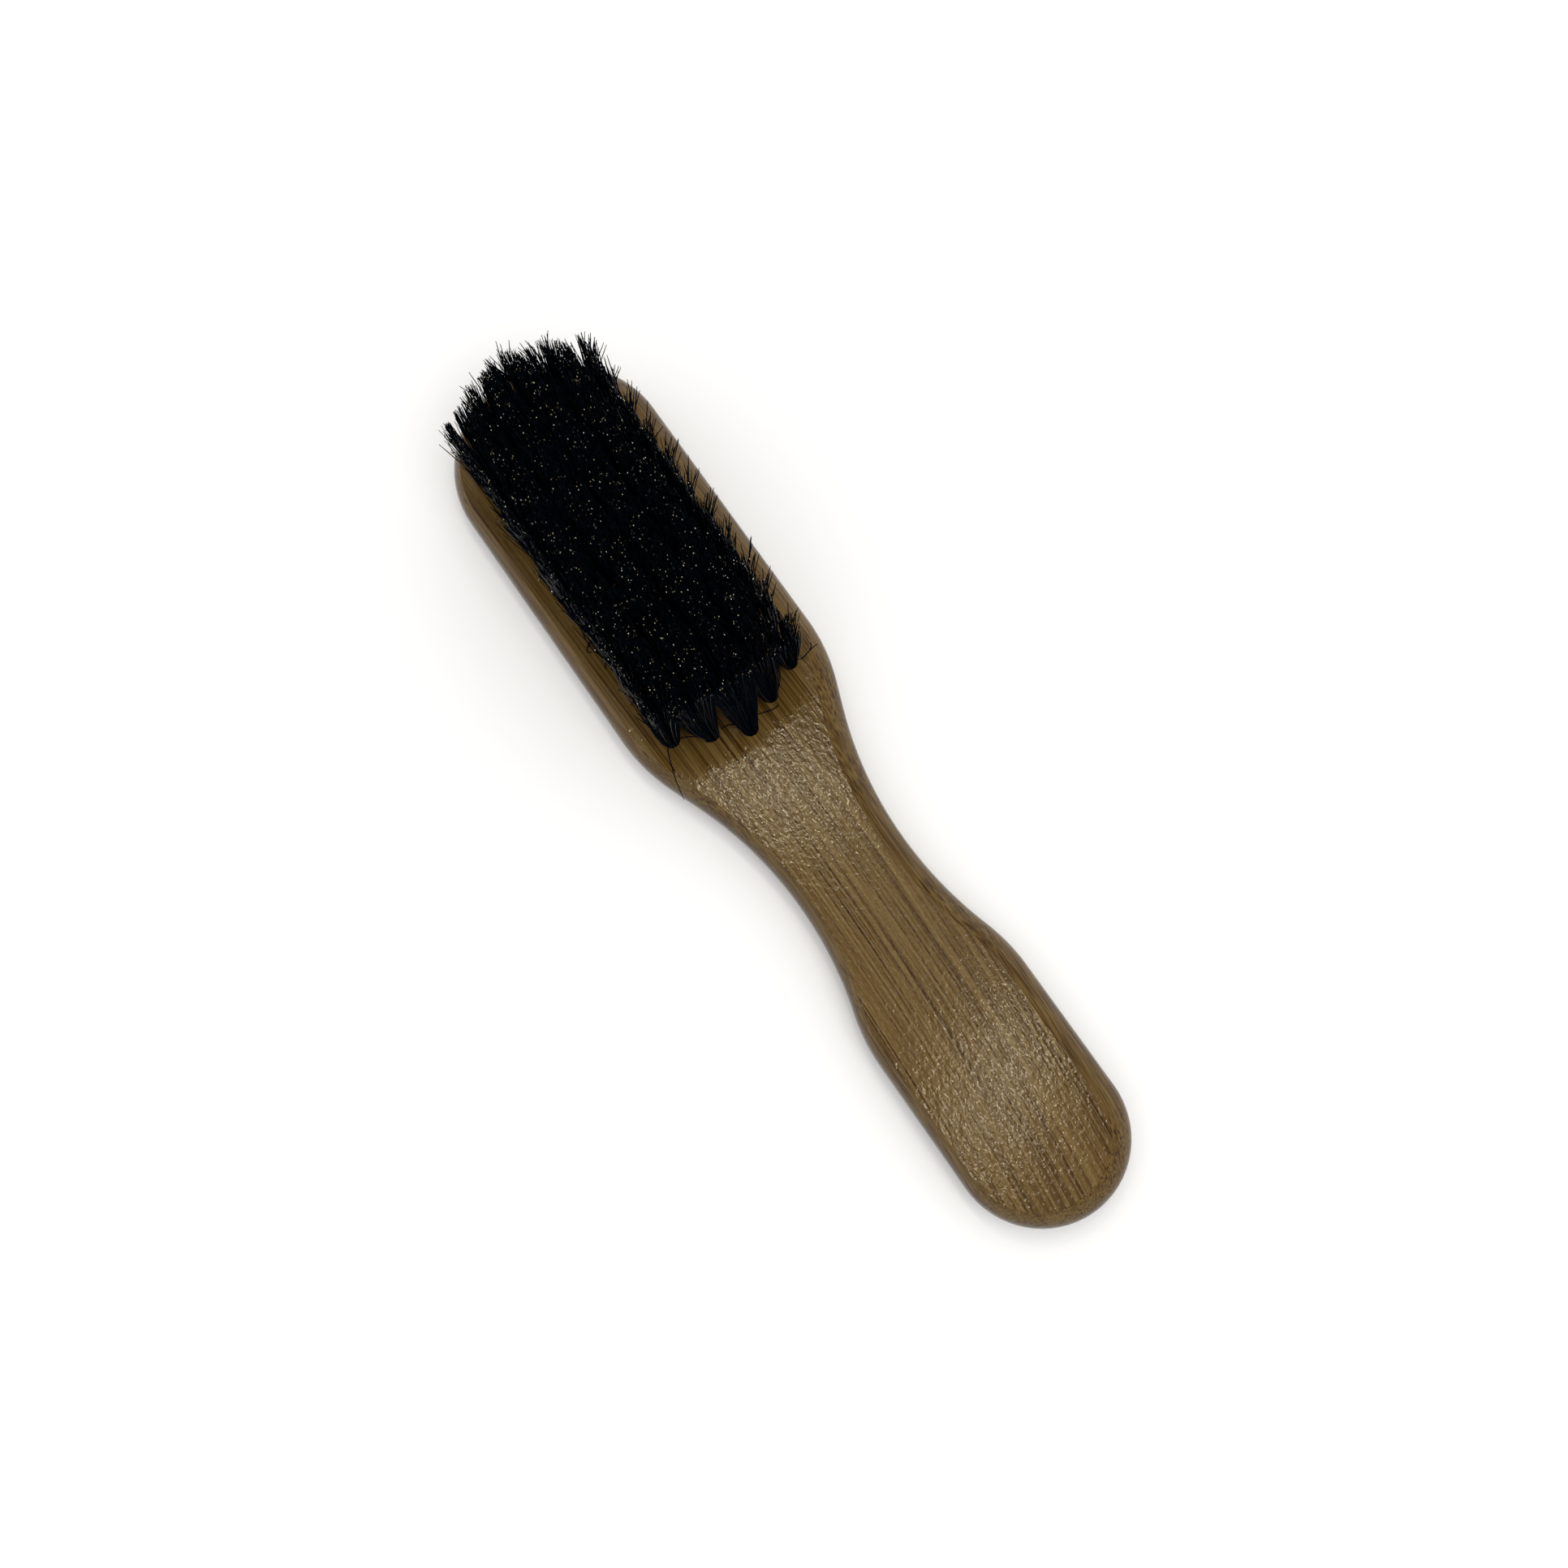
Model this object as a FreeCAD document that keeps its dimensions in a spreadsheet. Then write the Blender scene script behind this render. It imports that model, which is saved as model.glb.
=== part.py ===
import FreeCAD, Part
import math
import os
import Sketcher
from FreeCAD import Vector

# Fade brush: a flat bamboo handle with five rows of black bristle tufts.
#
# Every tuft is a bundle of bristles, folded once over a short flat anchor wire and driven with it
# into a blind hole of its own. The anchor's two ends bite into the wall of the hole.
#
# Frame, in millimetres: the brush lies on its flat back, at z = 0, with the bristles up (+Z). X runs
# along the brush, towards the tail of the grip. The origin is the centre of the outline.
#
# The board's side bulges out to the outline at mid-height. It meets the flat face in a plain arris,
# and the face lies a little off-centre, so the side is wider along one long edge than the other.
#
# The tufts stand in ranks across the brush. Odd ranks have a tuft in the middle row and, away from
# the two ends, in the outer rows. Even ranks have one in each of the rows between.

SIZES = [
    ("overall_length", 180.0, "head end to tail end"),
    ("head_width", 39.0, "across the bristle head"),
    ("grip_width", 30.0, "across the grip"),
    ("waist_width", 21.4, "across the narrowest place"),
    ("waist_from_tail", 69.0, "narrowest place to tail end"),
    ("shoulder_from_tail", 111.0, "start of the head's shoulder to tail end"),
    ("waist_radius", 70.0, "long hollow curve of the waist"),
    ("shoulder_radius", 33.0, "round shoulders of head and grip"),
    ("board_thickness", 11.0, "flat back to flat face"),
    ("side_bulge", 2.85, "outline at mid-height, beyond the flat face and the flat back"),
    ("face_offset", 1.25, "flat face, to the -Y side of the centre line"),
    ("hole_diameter", 3.0, "blind hole of one tuft"),
    ("hole_depth", 7.0, "below the face"),
    ("hole_clearance", 0.03, "between a tuft and the wall of its hole"),
    ("row_spacing", 6.1, "between the lengthwise rows"),
    ("row_offset", -0.5, "middle row, to the side of the centre line"),
    ("rank_spacing", 3.0, "between the crosswise ranks"),
    ("rank_count", 25.0, "crosswise ranks"),
    ("last_rank_from_tail", 99.0, "rank nearest the grip to tail end"),
    ("bristle_length", 21.0, "above the face"),
    ("tuft_tip_diameter", 5.6, "spread of a tuft at its tips"),
    ("tuft_crown", 0.6, "rise of the middle of a tuft's tip"),
    ("anchor_length", 3.3, "along the brush, ends in the wood"),
    ("anchor_gauge", 0.4, "thickness of the anchor wire"),
    ("anchor_height", 1.8, "width of the flat wire"),
    ("fold_thickness", 0.6, "bristles folded under the anchor"),
]

ROW_COUNT = 5
MIDDLE_ROW = 2
NODE_NAME = "{}_rank_{:02d}"


def make_sheet(doc):
    """Keep the driving dimensions, one row each: name, value, what it measures."""
    sheet = doc.addObject("Spreadsheet::Sheet", "Sizes")
    for line, (alias, value, meaning) in enumerate(SIZES, start=1):
        sheet.set("A%d" % line, alias)
        sheet.set("B%d" % line, str(value))
        sheet.set("C%d" % line, meaning)
        sheet.setAlias("B%d" % line, alias)
    doc.recompute()
    return sheet


def origin_plane(body, role):
    """Find one of the body's own origin planes."""
    for feature in body.Origin.OriginFeatures:
        if feature.Role == role:
            return feature
    raise ValueError("no plane " + role)


def new_body(doc, label):
    body = doc.addObject("PartDesign::Body", label)
    body.Label = label
    body.AllowCompound = True
    return body


def new_sketch(body, name, role="XY_Plane", height=None):
    """Attach a sketch to a plane of the body, raised to the height that an expression gives."""
    sketch = body.newObject("Sketcher::SketchObject", name)
    sketch.AttachmentSupport = [(origin_plane(body, role), "")]
    sketch.MapMode = "FlatFace"
    if height:
        sketch.setExpression("AttachmentOffset.Base.z", height)
    return sketch


def bind(sketch, constraint, expression):
    """Add a dimension to the sketch and drive it from the sheet."""
    index = sketch.addConstraint(constraint)
    sketch.setExpression("Constraints[%d]" % index, expression)


def join(sketch, first, second, kind="Coincident"):
    """Join the end of one line or arc to the start of the next; each end is (index, point)."""
    sketch.addConstraint(Sketcher.Constraint(kind, first[0], first[1], second[0], second[1]))


def sketch_outline(sketch, sizes, inset=None, offset=None):
    """Draw the outline, drawn in and moved to -Y by what two cells of the sheet, if named, hold."""
    drawn_in, inset_cell = (getattr(sizes, inset), "Sizes." + inset) if inset else (0.0, "0")
    tail_x = sizes.overall_length / 2
    head_half = sizes.head_width / 2 - drawn_in
    grip_half = sizes.grip_width / 2 - drawn_in
    waist_radius = sizes.waist_radius + drawn_in
    round_radius = sizes.shoulder_radius - drawn_in
    axis_y = -getattr(sizes, offset) if offset else 0.0

    # Centres of the arcs, for the half on the +Y side, and the slopes where they meet.
    head = Vector(sizes.head_width / 2 - tail_x, 0)
    tail = Vector(tail_x - sizes.grip_width / 2, 0)
    waist = Vector(tail_x - sizes.waist_from_tail, sizes.waist_width / 2 + sizes.waist_radius)
    shoulder = Vector(tail_x - sizes.shoulder_from_tail, head_half - round_radius)
    reach = waist_radius + round_radius
    across = waist - shoulder
    head_slope = math.atan2(across.x, across.y) - math.acos(reach / across.Length)
    grip_slope = math.acos((waist.y - grip_half + round_radius) / reach)
    grip = Vector(waist.x + reach * math.sin(grip_slope), grip_half - round_radius)
    quarter = math.pi / 2

    axis = sketch.addGeometry(
        Part.LineSegment(Vector(head.x, axis_y), Vector(tail.x, axis_y)), True)
    sketch.addConstraint(Sketcher.Constraint("Horizontal", axis))
    bind(sketch, Sketcher.Constraint("DistanceX", axis, 1, -1, 1, -head.x),
         "Sizes.overall_length / 2 - Sizes.head_width / 2")
    bind(sketch, Sketcher.Constraint("DistanceX", -1, 1, axis, 2, tail.x),
         "Sizes.overall_length / 2 - Sizes.grip_width / 2")
    if offset:
        bind(sketch, Sketcher.Constraint("DistanceY", axis, 1, -1, 1, -axis_y), "Sizes." + offset)
    else:
        sketch.addConstraint(Sketcher.Constraint("PointOnObject", axis, 1, -1))

    ends = []
    for side in (1, -1):
        def place(point):
            return Vector(point.x, axis_y + side * point.y)

        def arc(centre, radius, low, high):
            """Add an arc, given by its angles on the +Y side."""
            circle = Part.Circle(place(centre), Vector(0, 0, 1), radius)
            if side < 0:
                low, high = -high, -low
            return sketch.addGeometry(Part.ArcOfCircle(circle, low, high), False)

        def line(start, end):
            return sketch.addGeometry(Part.LineSegment(place(start), place(end)), False)

        # An arc's first and last point change places on the -Y side.
        low, high = (1, 2) if side > 0 else (2, 1)
        turn = quarter - head_slope
        bulge_turn = quarter + grip_slope
        toward = Vector(math.cos(turn), math.sin(turn))
        pieces = [
            (arc(head, head_half, quarter, math.pi), high, low),
            (line(Vector(head.x, head_half), Vector(shoulder.x, head_half)), 1, 2),
            (arc(shoulder, round_radius, turn, quarter), high, low),
            (line(shoulder + toward * round_radius, waist - toward * waist_radius), 1, 2),
            (arc(waist, waist_radius, turn + math.pi, bulge_turn + math.pi), low, high),
            (arc(grip, round_radius, quarter, bulge_turn), high, low),
            (line(Vector(grip.x, grip_half), Vector(tail.x, grip_half)), 1, 2),
            (arc(tail, grip_half, 0, quarter), high, low),
        ]
        for (first, _, end), (second, start, _) in zip(pieces, pieces[1:]):
            join(sketch, (first, end), (second, start), "Tangent")
        ends.append((pieces[0][:2], (pieces[-1][0], pieces[-1][2])))

        head_arc, head_side, shoulder_arc, _, waist_arc, bulge_arc, grip_side, tail_arc = [
            piece[0] for piece in pieces]
        for straight in (head_side, grip_side):
            sketch.addConstraint(Sketcher.Constraint("Horizontal", straight))
        join(sketch, (head_arc, 3), (axis, 1))
        join(sketch, (tail_arc, 3), (axis, 2))
        radii = [
            (waist_arc, waist_radius, "Sizes.waist_radius + %s"),
            (shoulder_arc, round_radius, "Sizes.shoulder_radius - %s"),
            (bulge_arc, round_radius, "Sizes.shoulder_radius - %s"),
        ]
        if side > 0:
            radii += [(head_arc, head_half, "Sizes.head_width / 2 - %s"),
                      (tail_arc, grip_half, "Sizes.grip_width / 2 - %s")]
        for index, radius, expression in radii:
            bind(sketch, Sketcher.Constraint("Radius", index, radius), expression % inset_cell)
        bind(sketch, Sketcher.Constraint("DistanceX", -1, 1, waist_arc, 3, waist.x),
             "Sizes.overall_length / 2 - Sizes.waist_from_tail")
        bind(sketch, Sketcher.Constraint("DistanceX", shoulder_arc, 3, -1, 1, -shoulder.x),
             "Sizes.shoulder_from_tail - Sizes.overall_length / 2")
        inner, outer = ((axis, 1), (waist_arc, 3)) if side > 0 else ((waist_arc, 3), (axis, 1))
        bind(sketch, Sketcher.Constraint("DistanceY", *inner, *outer, waist.y),
             "Sizes.waist_width / 2 + Sizes.waist_radius")

    # The two halves meet on the axis, which gives the -Y half its end radii.
    for upper, lower in zip(*ends):
        join(sketch, upper, lower)
        sketch.addConstraint(Sketcher.Constraint("PointOnObject", upper[0], upper[1], axis))


def sketch_rectangle(sketch, centre, length, width, expressions):
    """Draw a rectangle along X and Y; expressions give its centre's X and Y, length and width."""
    low = centre - Vector(length, width) / 2
    high = centre + Vector(length, width) / 2
    corners = [low, Vector(high.x, low.y), high, Vector(low.x, high.y)]
    sides = [sketch.addGeometry(Part.LineSegment(corners[k], corners[(k + 1) % 4]), False) for k in range(4)]
    for k in range(4):
        join(sketch, (sides[k], 2), (sides[(k + 1) % 4], 1))
        sketch.addConstraint(Sketcher.Constraint("Vertical" if k % 2 else "Horizontal", sides[k]))
    centre_x, centre_y, length_cell, width_cell = expressions
    bind(sketch, Sketcher.Constraint("DistanceX", sides[0], 1, sides[0], 2, length), length_cell)
    bind(sketch, Sketcher.Constraint("DistanceY", sides[1], 1, sides[1], 2, width), width_cell)
    bind(sketch, Sketcher.Constraint("DistanceX", -1, 1, sides[1], 2, high.x),
         "%s + %s / 2" % (centre_x, length_cell))
    bind(sketch, Sketcher.Constraint("DistanceY", -1, 1, sides[1], 2, high.y),
         "%s + %s / 2" % (centre_y, width_cell))


def repeat(body, name, features, sketch, axis, spacing, count):
    """Repeat features along an axis of their sketch, at the spacing that an expression gives."""
    if count == 1:
        return
    pattern = body.newObject("PartDesign::LinearPattern", name)
    pattern.Originals = features
    pattern.Direction = (sketch, [axis])
    pattern.setExpression("Length", "%s * %d" % (spacing, count - 1))
    pattern.Occurrences = count
    body.Tip = pattern


def rank_expression(rank):
    """Give where a rank stands along the brush; rank 1 is nearest the head end."""
    return ("(Sizes.overall_length / 2 - Sizes.last_rank_from_tail"
            " - Sizes.rank_spacing * (Sizes.rank_count - %d))" % rank)


def rank_place(sizes, rank):
    last = sizes.overall_length / 2 - sizes.last_rank_from_tail
    return last - sizes.rank_spacing * (sizes.rank_count - rank)


def row_expression(row):
    return "(Sizes.row_offset + Sizes.row_spacing * %d)" % (row - MIDDLE_ROW)


def row_place(sizes, row):
    return sizes.row_offset + sizes.row_spacing * (row - MIDDLE_ROW)


def rows_of_rank(sizes, rank):
    """List the rows that have a tuft in this rank, so that both ends of the field are arched."""
    if rank in (1, int(sizes.rank_count)):
        return [MIDDLE_ROW]
    if rank % 2:
        return [0, MIDDLE_ROW, ROW_COUNT - 1]
    return [MIDDLE_ROW - 1, MIDDLE_ROW + 1]


def drill_row(doc, body, sizes, row):
    """Drill the holes of one row, each with the two bites of its anchor in the wall."""
    ranks = [rank for rank in range(1, int(sizes.rank_count) + 1) if row in rows_of_rank(sizes, rank)]
    first = Vector(rank_place(sizes, ranks[0]), row_place(sizes, row))

    hole_sketch = new_sketch(body, "HoleSketch%d" % row, height="Sizes.board_thickness")
    radius = sizes.hole_diameter / 2
    circle = hole_sketch.addGeometry(Part.Circle(first, Vector(0, 0, 1), radius), False)
    bind(hole_sketch, Sketcher.Constraint("Radius", circle, radius), "Sizes.hole_diameter / 2")
    bind(hole_sketch, Sketcher.Constraint("DistanceX", -1, 1, circle, 3, first.x), rank_expression(ranks[0]))
    bind(hole_sketch, Sketcher.Constraint("DistanceY", -1, 1, circle, 3, first.y), row_expression(row))
    hole = body.newObject("PartDesign::Pocket", "Hole%d" % row)
    hole.Profile = hole_sketch
    hole.setExpression("Length", "Sizes.hole_depth")

    anchor_seat = "Sizes.board_thickness - Sizes.hole_depth + Sizes.fold_thickness"
    bite_sketch = new_sketch(body, "BiteSketch%d" % row, height=anchor_seat)
    sketch_rectangle(bite_sketch, first, sizes.anchor_length, sizes.anchor_gauge,
                     (rank_expression(ranks[0]), row_expression(row),
                      "Sizes.anchor_length", "Sizes.anchor_gauge"))
    bite = body.newObject("PartDesign::Pocket", "Bite%d" % row)
    bite.Profile = bite_sketch
    bite.Reversed = True
    bite.setExpression("Length", "Sizes.anchor_height")

    repeat(body, "HoleRow%d" % row, [hole, bite], hole_sketch, "H_Axis", "2 * Sizes.rank_spacing", len(ranks))
    doc.recompute()


def make_handle(doc, sizes):
    """Make the bamboo handle: a board with a bulging side, then the holes for the tufts."""
    body = new_body(doc, "handle")
    back = new_sketch(body, "BackOutline")
    sketch_outline(back, sizes, inset="side_bulge")
    middle = new_sketch(body, "Outline", height="Sizes.board_thickness / 2")
    sketch_outline(middle, sizes)
    face = new_sketch(body, "FaceOutline", height="Sizes.board_thickness")
    sketch_outline(face, sizes, inset="side_bulge", offset="face_offset")
    board = body.newObject("PartDesign::AdditiveLoft", "Board")
    board.Profile = back
    board.Sections = [middle, face]
    doc.recompute()

    for row in range(ROW_COUNT):
        drill_row(doc, body, sizes, row)
    return body


def make_tufts(doc, sizes, rank):
    """Make one rank of tufts: a stem that fills its hole, and a spray that opens above the face."""
    rows = rows_of_rank(sizes, rank)
    body = new_body(doc, NODE_NAME.format("tufts", rank))
    profile = new_sketch(body, "Profile", role="XZ_Plane")
    profile.setExpression("AttachmentOffset.Base.z", "-" + row_expression(rows[0]))
    axis_x = rank_place(sizes, rank)
    stem = sizes.hole_diameter / 2 - sizes.hole_clearance
    tip = sizes.tuft_tip_diameter / 2
    low = sizes.board_thickness - sizes.hole_depth
    face = sizes.board_thickness
    top = face + sizes.bristle_length
    brim = top - sizes.tuft_crown
    middle = Vector(axis_x + tip / 2, top - sizes.tuft_crown / 4)

    corners = [Vector(axis_x, low), Vector(axis_x + stem, low), Vector(axis_x + stem, face),
               Vector(axis_x + tip, brim)]
    lines = [profile.addGeometry(Part.LineSegment(corners[k], corners[k + 1]), False) for k in range(3)]
    crown = profile.addGeometry(Part.Arc(corners[3], middle, Vector(axis_x, top)), False)
    core = profile.addGeometry(Part.LineSegment(Vector(axis_x, top), Vector(axis_x, low)), False)
    bottom, wall, spray = lines
    join(profile, (bottom, 2), (wall, 1))
    join(profile, (wall, 2), (spray, 1))
    join(profile, (spray, 2), (crown, 1))
    join(profile, (crown, 2), (core, 1))
    join(profile, (core, 2), (bottom, 1))
    profile.addConstraint(Sketcher.Constraint("Horizontal", bottom))
    profile.addConstraint(Sketcher.Constraint("Vertical", wall))
    profile.addConstraint(Sketcher.Constraint("Vertical", core))
    # The crown's own centre stays on the tuft's axis.
    profile.addConstraint(Sketcher.Constraint("PointOnObject", crown, 3, core))
    bind(profile, Sketcher.Constraint("DistanceX", -1, 1, bottom, 1, axis_x), rank_expression(rank))
    bind(profile, Sketcher.Constraint("DistanceY", -1, 1, bottom, 1, low),
         "Sizes.board_thickness - Sizes.hole_depth")
    bind(profile, Sketcher.Constraint("DistanceX", bottom, 1, bottom, 2, stem),
         "Sizes.hole_diameter / 2 - Sizes.hole_clearance")
    bind(profile, Sketcher.Constraint("DistanceY", wall, 1, wall, 2, face - low), "Sizes.hole_depth")
    bind(profile, Sketcher.Constraint("DistanceX", core, 2, spray, 2, tip), "Sizes.tuft_tip_diameter / 2")
    bind(profile, Sketcher.Constraint("DistanceY", wall, 2, core, 1, top - face), "Sizes.bristle_length")
    bind(profile, Sketcher.Constraint("DistanceY", spray, 2, core, 1, sizes.tuft_crown), "Sizes.tuft_crown")

    turned = body.newObject("PartDesign::Revolution", "Bundle")
    turned.Profile = profile
    turned.ReferenceAxis = (profile, ["Edge%d" % (core + 1)])
    turned.Angle = 360.0
    doc.recompute()

    window = new_sketch(body, "Window",
                        height="Sizes.board_thickness - Sizes.hole_depth + Sizes.fold_thickness")
    centre = Vector(axis_x, row_place(sizes, rows[0]))
    sketch_rectangle(window, centre, sizes.anchor_length, sizes.anchor_gauge,
                     (rank_expression(rank), row_expression(rows[0]),
                      "Sizes.anchor_length", "Sizes.anchor_gauge"))
    gap = body.newObject("PartDesign::Pocket", "AnchorGap")
    gap.Profile = window
    gap.Reversed = True
    gap.setExpression("Length", "Sizes.anchor_height")
    repeat(body, "Rank", [turned, gap], window, "V_Axis", "2 * Sizes.row_spacing", len(rows))
    return body


def make_anchors(doc, sizes, rank):
    """Make one rank of anchors: short lengths of flat wire on edge, set along the brush.

    Their ends press on the ends of the bamboo's fibres, so that they don't split the board.
    """
    rows = rows_of_rank(sizes, rank)
    body = new_body(doc, NODE_NAME.format("anchors", rank))
    profile = new_sketch(body, "Profile",
                         height="Sizes.board_thickness - Sizes.hole_depth + Sizes.fold_thickness")
    centre = Vector(rank_place(sizes, rank), row_place(sizes, rows[0]))
    sketch_rectangle(profile, centre, sizes.anchor_length, sizes.anchor_gauge,
                     (rank_expression(rank), row_expression(rows[0]),
                      "Sizes.anchor_length", "Sizes.anchor_gauge"))
    wire = body.newObject("PartDesign::Pad", "Wire")
    wire.Profile = profile
    wire.setExpression("Length", "Sizes.anchor_height")
    repeat(body, "Rank", [wire], profile, "V_Axis", "2 * Sizes.row_spacing", len(rows))
    return body


def check(doc, nodes):
    """Stop if anything failed without a word, or a node isn't sound."""
    for item in doc.Objects:
        if "Invalid" in item.State or "Error" in item.State:
            raise RuntimeError("failed: %s %s" % (item.Label, item.State))
    for body, solids in nodes:
        if body.Shape.isNull() or not body.Shape.isValid():
            raise RuntimeError("bad shape: " + body.Label)
        if len(body.Shape.Solids) != solids:
            raise RuntimeError("%s has %d solids" % (body.Label, len(body.Shape.Solids)))


def main():
    doc = FreeCAD.newDocument("FadeBrush")
    sizes = make_sheet(doc)
    nodes = [(make_handle(doc, sizes), 1)]
    for rank in range(1, int(sizes.rank_count) + 1):
        tufts = len(rows_of_rank(sizes, rank))
        nodes.append((make_tufts(doc, sizes, rank), tufts))
        nodes.append((make_anchors(doc, sizes, rank), tufts))
    doc.recompute()
    check(doc, nodes)
    os.makedirs("parts", exist_ok=True)
    for body, solids in nodes:
        body.Shape.exportStep("parts/%s.step" % body.Label)
        print("%-16s %d solids %10.2f mm3" % (body.Label, solids, body.Shape.Volume))


main()
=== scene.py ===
import math

import bpy
import numpy as np
from mathutils import Matrix, Vector


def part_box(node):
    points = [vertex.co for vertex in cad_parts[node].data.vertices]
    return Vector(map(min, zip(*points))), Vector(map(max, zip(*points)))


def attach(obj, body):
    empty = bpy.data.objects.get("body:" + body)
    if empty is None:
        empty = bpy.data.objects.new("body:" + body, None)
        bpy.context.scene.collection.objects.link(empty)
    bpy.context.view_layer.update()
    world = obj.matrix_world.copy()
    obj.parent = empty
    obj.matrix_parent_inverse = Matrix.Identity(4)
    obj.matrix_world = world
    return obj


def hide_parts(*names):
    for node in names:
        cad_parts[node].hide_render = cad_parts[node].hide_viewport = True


# Looks for the fade brush: a lacquered bamboo handle, and black boar bristles in 59 tufts.
# Lengths are in metres unless a name ends in _MM. The brush lies on its back, bristles up (+Z),
# with +X towards the tail of the grip.

MM = 0.001
SEED = 20

# Camera: where it stands above the brush, and how far the brush's axis is turned in its view.
CAMERA_TARGET = Vector((-0.25, -0.13, 0.0)) * MM
CAMERA_DISTANCE = 410.8 * MM
TILT_TO_TAIL = math.radians(14.18)
TILT_TO_SIDE = math.radians(-6.18)
AXIS_TURN = math.radians(54.6)
LENS_MM = 54.04
SENSOR_MM = 36.0

# Light: strength of the white sky, by the sine of the height above the horizon.
SKY = [(0.0, 0.62), (0.35, 0.78), (0.80, 0.97)]
WHITE = (1.0, 1.0, 1.0)
WARM = (1.0, 0.88, 0.64)
# The key light, and small warm strips overhead where the lacquer mirrors them to the camera: off
# the neck, off the grip, and faintly along the +Y edge of the face. Each has its name, place,
# length and width, the direction it runs in, power and colour.
LIGHTS = [
    ("key", (0.50, 0.04, 1.15), (0.60, 0.60), (1, 0), 4.5, WHITE),
    ("shine_neck", (-0.248, 0.100, 1.0), (0.10, 0.020), (13, 14), 0.39, WARM),
    ("shine_grip", (-0.024, 0.107, 1.0), (0.12, 0.020), (15, -20), 0.38, WARM),
    ("shine_between", (-0.139, 0.135, 1.0), (0.14, 0.020), (1, 0), 0.10, WARM),
]

# Floor
FLOOR_REACH = 4.0
FLOOR_DEPTH = -0.05 * MM
FLOOR_WHITE = (0.93, 0.93, 0.93)

# Bamboo. The fibres run along the brush at a slight slope, and bow off it past BOW_START. Both
# BOW_START and BOW are for lengths in mm.
GRAIN_SLOPE = 0.03
BOW_START = 5.0
BOW = 0.00087
# Patterns in the wood and its lacquer: repeats per mm along and across the brush, and a shift.
BANDS = (0.005, 0.35, 0.0)
STREAKS = (0.012, 2.4, 9.1)
CROWDING = (0.004, 0.28, 27.0)
RIPPLE = (1.0, 1.5, 41.0)
GLOSS = (1.2, 1.9, 57.0)
# How much of the wood's tone comes from the streaks. The bands give the rest.
STREAK_SHARE = 0.75
BAMBOO_LIGHT = (0.142, 0.090, 0.028)
BAMBOO_MID = (0.109, 0.064, 0.017)
BAMBOO_DARK = (0.065, 0.033, 0.006)
BUNDLE_TINT = (0.30, 0.17, 0.06)
# Layers of dark bundles: their pattern, the sizes of core and edge, and the depth of the tint.
# BUNDLE_SPREAD is how much the bundles of one layer differ in strength.
BUNDLES = [
    ((0.018, 1.3, 11.0), 0.14, 0.24, 1.00),
    ((0.026, 2.2, 17.0), 0.24, 0.39, 1.00),
    ((0.045, 3.0, 23.0), 0.26, 0.42, 0.90),
]
BUNDLE_SPREAD = 0.5
# How dark the steepest sides are painted: painted shade that darkens the sides against the face.
PAINTED_SIDE_SHADE = 0.60
# Clear lacquer: depth of its ripples, how far the grain shows through them, its roughness where it
# is glossiest and dullest, and its reflection level.
LACQUER_RELIEF = 0.032 * MM
GRAIN_RELIEF = 0.15
LACQUER_GLOSSY = 0.05
LACQUER_DULL = 0.15
LACQUER_SPECULAR = 0.12

# Anchor wire
STEEL_DARK = (0.42, 0.42, 0.43)
STEEL_LIGHT = (0.62, 0.62, 0.63)
WIRE_LINES = (0.2, 9.0, 0.0)

# Tufts: the radius of the stem in its hole, and the heights above the back of the lowest and the
# highest hair under the anchor. At the fold's corners a hair is FOLD_CORNER above its lowest point
# and nearer to the anchor by FOLD_SQUEEZE.
STEM_RADIUS = 1.47 * MM
FOLD_FLOOR = 4.1 * MM
FOLD_ROOF = 4.55 * MM
FOLD_CORNER = 0.25 * MM
FOLD_SQUEEZE = 0.7
ANCHOR_TOP = 6.6 * MM
ANCHOR_HALF = 0.25 * MM
HAIRS_PER_TUFT = 150
# Hairs: radii at the fold and the tips, how much hairs differ in width, and how far they bow.
ROOT_RADIUS = 0.084 * MM
TIP_RADIUS = 0.058 * MM
HAIR_WIDTHS = (0.8, 1.15)
HAIR_BOW = 0.28 * MM
HAIR_SIDES = 5
LEG_STEPS = 7
# Turn from one point to the next where points are spread over a disc.
GOLDEN_ANGLE = 2.399963
# How far a tuft opens at its rim, along and across the brush, and what share of that at its centre.
OPENING = np.array([4.5, 4.6]) * MM
CENTRE_OPENING = 0.75
# How far the whole pad leans, and by how much the leans of its tufts differ.
PAD_LEAN = np.array([-0.3, -0.9]) * MM
TUFT_LEAN = 0.45 * MM
# Tips gather in small clumps: how many to half a tuft, how far out, how strongly they pull, and how
# much the clumps differ in height.
CLUMPS = 12
CLUMP_REACH = 0.95
CLUMP_PULL = (0.1, 0.5)
CLUMP_RISE = 0.3 * MM
TIP_SCATTER = 0.35 * MM
# Tips are lower at a tuft's rim, vary a little, and a few hairs are much shorter.
RIM_DROP = 0.9 * MM
TIP_DROP = 0.5 * MM
SHORT_SHARE = 0.12
SHORT_BY = (1 * MM, 6 * MM)
# The tips are held back at the long edges of the pad, at its end by the grip, and at its round
# head end.
PAD_EDGES = (-14.4 * MM, 11.7 * MM)
PAD_END = -12.0 * MM
PAD_HEAD = -81.6 * MM
PAD_HEAD_MIDDLE = -1.5 * MM
PAD_HEAD_RADIUS = 17.0 * MM
# A tip past an edge keeps a random share of its distance past it: up to TIP_GIVE, scaled for each
# half tuft by TUFT_GIVE, and scaled again by END_GIVE by the grip and HEAD_GIVE at the head end.
TIP_GIVE = 0.85
TUFT_GIVE = (0.6, 1.0)
END_GIVE = 0.6
HEAD_GIVE = 0.9
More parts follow.
